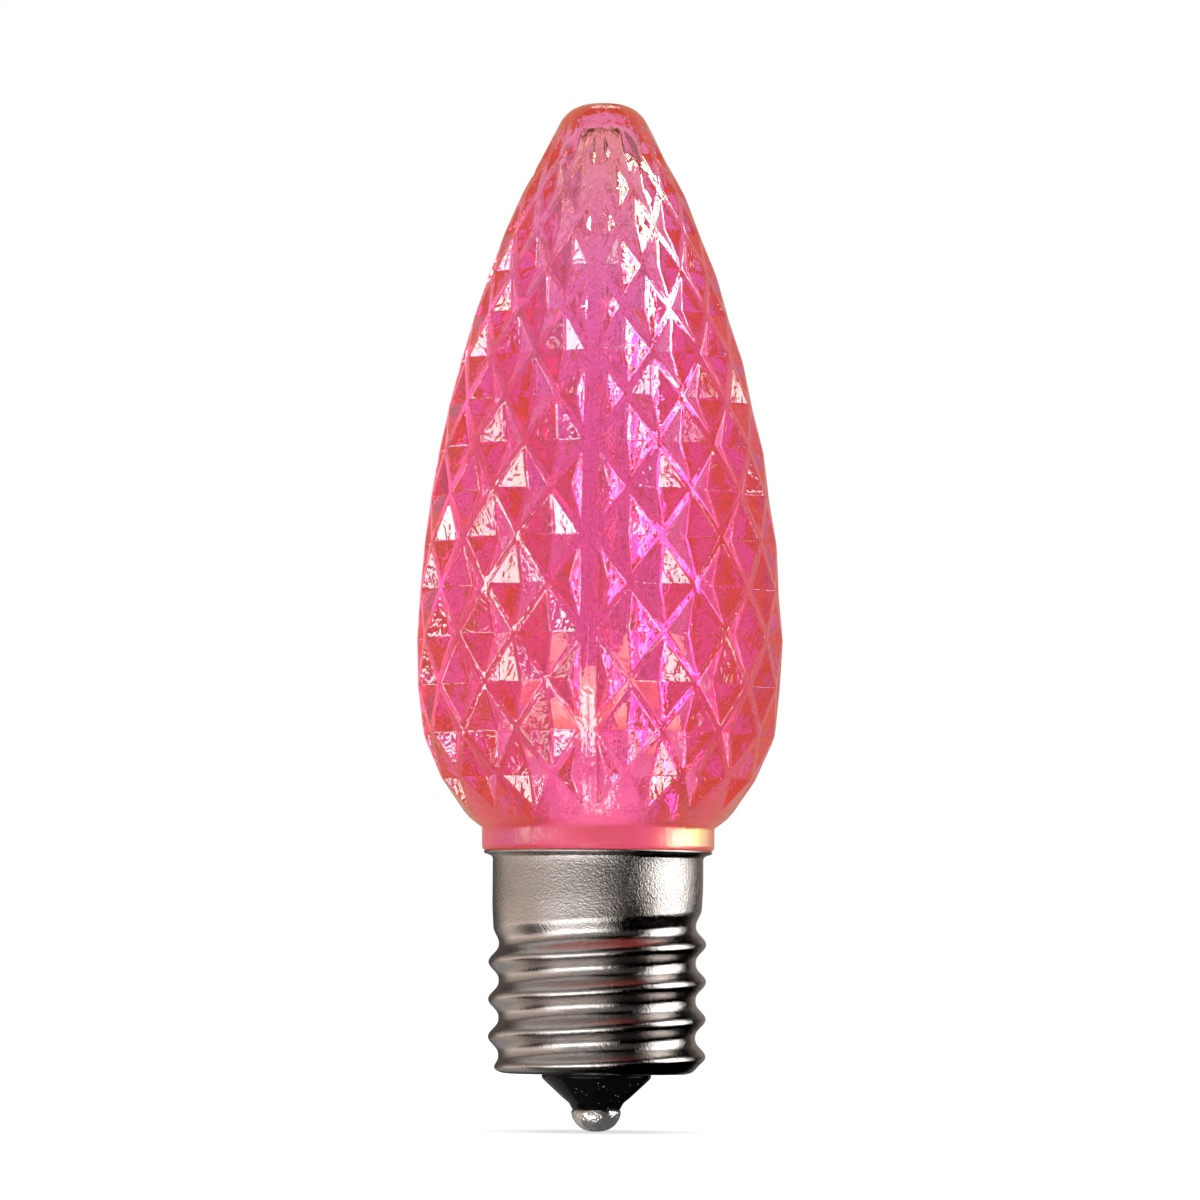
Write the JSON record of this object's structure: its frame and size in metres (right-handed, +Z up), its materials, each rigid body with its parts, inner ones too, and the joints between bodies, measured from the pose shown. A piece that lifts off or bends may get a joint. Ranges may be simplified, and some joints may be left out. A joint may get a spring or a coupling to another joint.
{
  "type": "christmas light bulb",
  "caption": "Retrofit decorative string-light bulb: faceted, tapering translucent pink lens with an LED inside, on a rolled nickel screw shell with a black insulator and a centre contact.",
  "frame": {"origin": "lowest point of the centre contact, on the bulb's axis", "axes": "+Z up the bulb's axis from the contact to the tip; the lens's two moulding seams face -Y and +Y"},
  "size_m": [0.0278, 0.0278, 0.0781],
  "materials": {
    "pink_lens": "clear pink moulded plastic, polished facets",
    "nickel_shell": "nickel-plated rolled sheet, satin with a fine grain",
    "black_insulator": "glossy black",
    "brass": "plain brass",
    "solder": "bright solder with shallow dimples",
    "white_plastic": "white moulded plastic",
    "led_epoxy": "clear cast resin",
    "led_die": "die under phosphor",
    "tinned_lead": "tinned wire",
    "green_board": "green solder mask on fibre board",
    "black_component": "moulded component body",
    "yellow_capacitor": "moulded film capacitor case",
    "blue_sleeve": "shrunk sleeve",
    "tan_resistor": "lacquered resistor body"
  },
  "bodies": {
    "root": {"lens": "pink_lens", "screw_shell": "nickel_shell", "insulator": "black_insulator", "contact_eyelet": "brass", "contact_solder": "solder", "led_holder": "white_plastic", "led_body": "led_epoxy", "led_chip": "led_die", "led_anode": "tinned_lead", "led_cathode": "tinned_lead", "led_bond_wire": "brass", "driver_board": "green_board", "bridge_rectifier": "black_component", "dropper_capacitor": "yellow_capacitor", "smoothing_capacitor": "blue_sleeve", "bleed_resistor": "black_component", "surge_resistor": "tan_resistor", "contact_wire": "tinned_lead", "shell_wire": "tinned_lead"}
  },
  "joints": []
}
